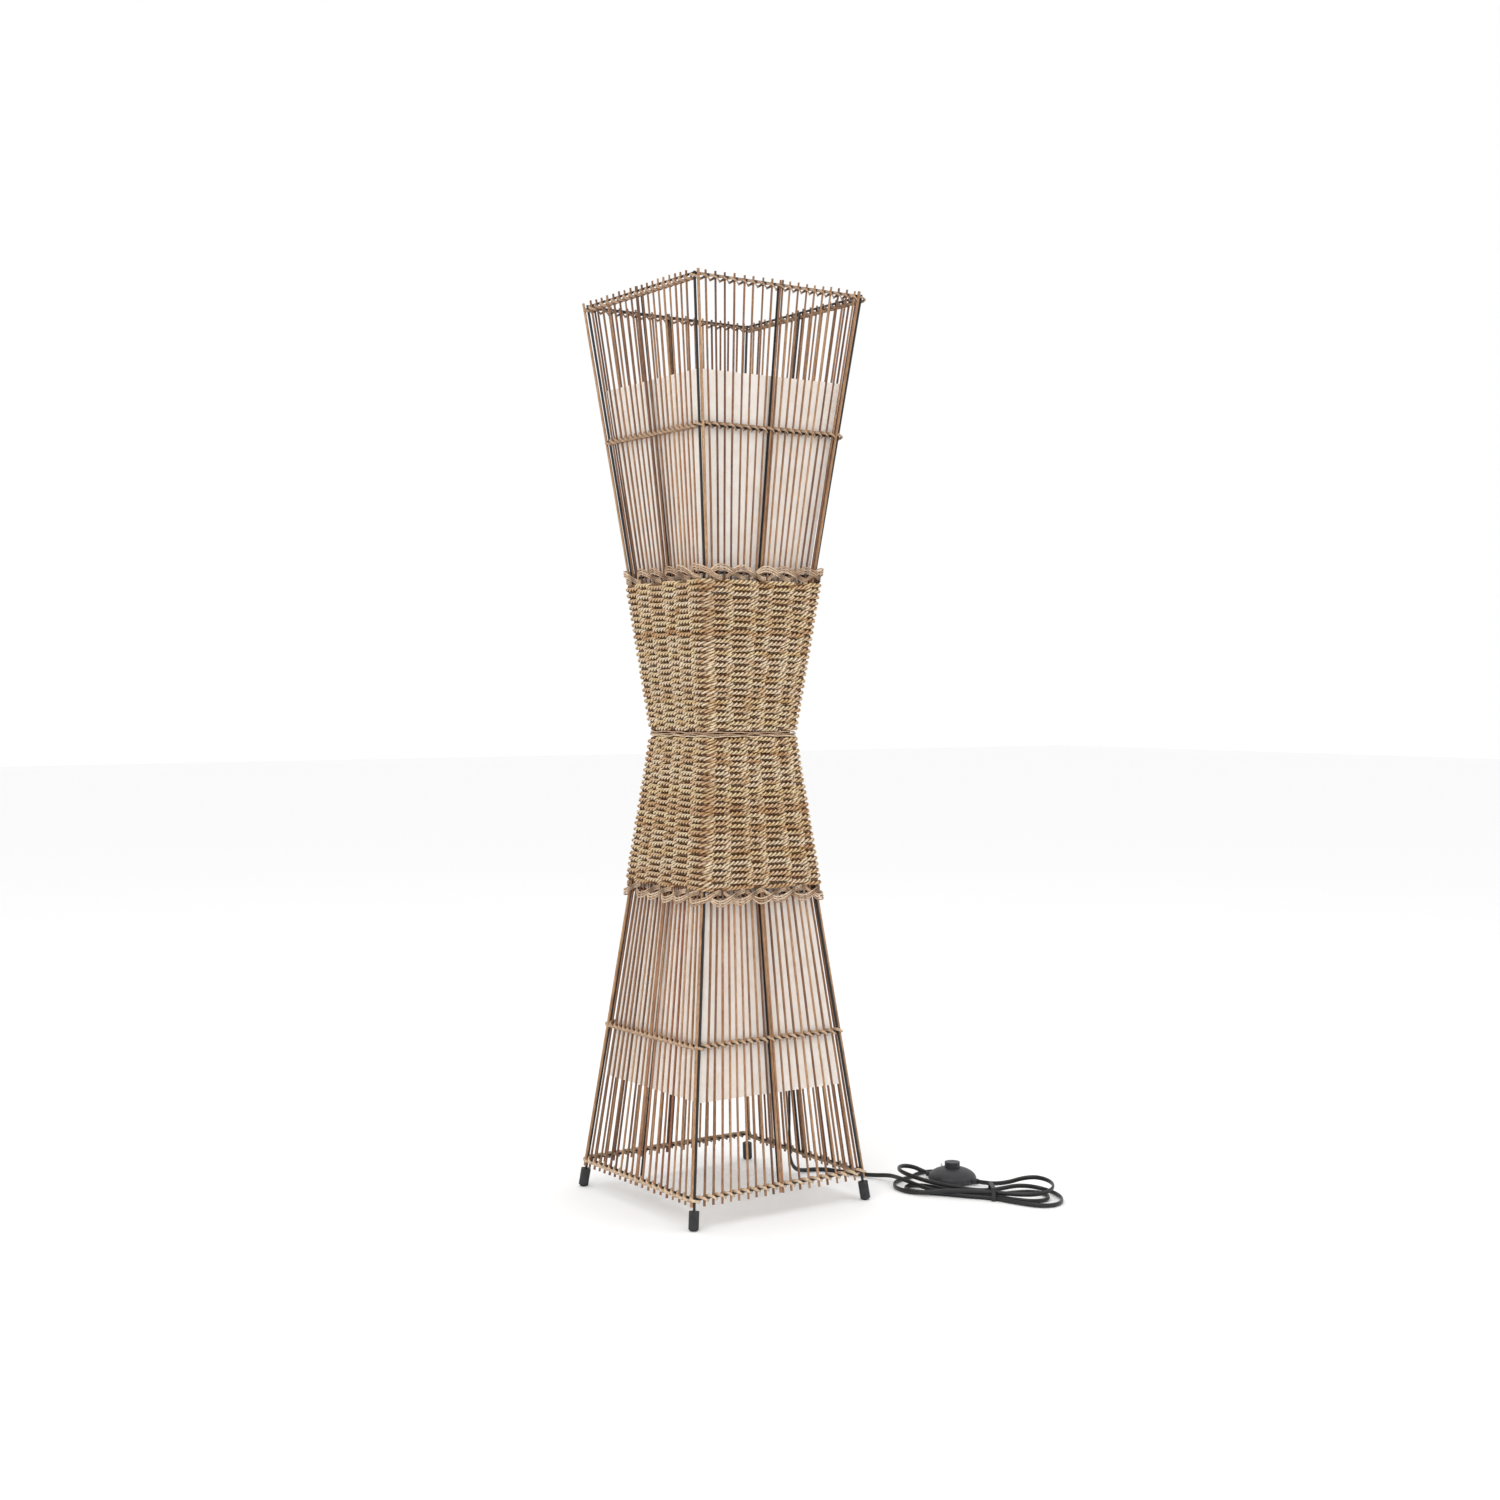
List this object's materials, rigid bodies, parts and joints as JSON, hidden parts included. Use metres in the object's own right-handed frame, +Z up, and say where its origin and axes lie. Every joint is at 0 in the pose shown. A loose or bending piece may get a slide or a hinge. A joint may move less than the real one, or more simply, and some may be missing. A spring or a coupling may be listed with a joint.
{
  "type": "floor lamp",
  "caption": "Hourglass floor lamp of cane sticks on a black wire frame, with a woven seagrass waist, a white inner liner and a foot switch on its cord.",
  "frame": {"origin": "on the floor, under the middle of the lamp's square foot print", "axes": "+Z up along the lamp, +X and +Y square to its right and back faces; the cord leaves under the right face"},
  "size_m": [0.4644, 0.4119, 1.0977],
  "materials": {
    "black_wire": "black powder coat on steel wire",
    "foot_rubber": "moulded black rubber",
    "cane": "banded cane sticks with the skin on, light brown",
    "cane_peel": "split cane strands, twined and lashed",
    "seagrass": "two-ply twisted seagrass rope, hand woven",
    "liner_film": "white translucent sheet",
    "holder_plastic": "black moulded plastic",
    "bulb_cap_metal": "pressed aluminium screw cap",
    "bulb_glass": "frosted white glass",
    "plated_steel": "zinc plated steel",
    "brass_strip": "plain brass",
    "switch_plastic": "fine-textured dark grey ABS",
    "tie_plastic": "black plastic tie",
    "cord_pvc": "flat two-core black flex"
  },
  "bodies": {
    "lamp": {"bulb_cap_lower": "bulb_cap_metal", "bulb_cap_upper": "bulb_cap_metal", "bulb_glass_lower": "bulb_glass", "bulb_glass_upper": "bulb_glass", "cable_tie": "tie_plastic", "cane_sticks_back_lower": "cane", "cane_sticks_back_upper": "cane", "cane_sticks_front_lower": "cane", "cane_sticks_front_upper": "cane", "cane_sticks_left_lower": "cane", "cane_sticks_left_upper": "cane", "cane_sticks_right_lower": "cane", "cane_sticks_right_upper": "cane", "cord_hank": "cord_pvc", "cord_lead": "cord_pvc", "cord_plug_tail": "cord_pvc", "cord_switch_tail": "cord_pvc", "corner_canes": "cane", "corner_rod_back_left": "black_wire", "corner_rod_back_right": "black_wire", "corner_rod_front_left": "black_wire", "corner_rod_front_right": "black_wire", "foot_cap_back_left": "foot_rubber", "foot_cap_back_right": "foot_rubber", "foot_cap_front_left": "foot_rubber", "foot_cap_front_right": "foot_rubber", "holder_bracket_lower": "black_wire", "holder_bracket_upper": "black_wire", "inner_cables": "cord_pvc", "junction_box": "holder_plastic", "lampholder_lower": "holder_plastic", "lampholder_upper": "holder_plastic", "lashing_bottom_rim": "cane_peel", "lashing_lower_band": "cane_peel", "lashing_top_rim": "cane_peel", "lashing_upper_band": "cane_peel", "liner_lower": "liner_film", "liner_upper": "liner_film", "mid_rods": "black_wire", "plug_blades": "brass_strip", "plug_body": "cord_pvc", "ring_bottom_rim": "black_wire", "ring_lower_band": "black_wire", "ring_top_rim": "black_wire", "ring_upper_band": "black_wire", "ring_waist": "black_wire", "ring_weave_bottom": "black_wire", "ring_weave_top": "black_wire", "seagrass_sleeve_lower": "seagrass", "seagrass_sleeve_upper": "seagrass", "sleeve_border_bottom": "cane_peel", "sleeve_border_top": "cane_peel", "switch_base": "switch_plastic", "switch_contacts": "brass_strip", "switch_cover": "switch_plastic", "switch_screws": "plated_steel", "switch_spring": "plated_steel", "twist_tie": "tie_plastic", "waist_strands": "cane_peel"},
    "button": {"switch_button": "switch_plastic"}
  },
  "joints": [
    {"name": "button_press", "type": "slide", "parent": "lamp", "child": "button", "axis": [0, 0, -1], "range_m": [0, 0.003], "stiffness_N_per_m": 400, "springref_m": -0.004, "deforming": ["switch_spring"]}
  ]
}
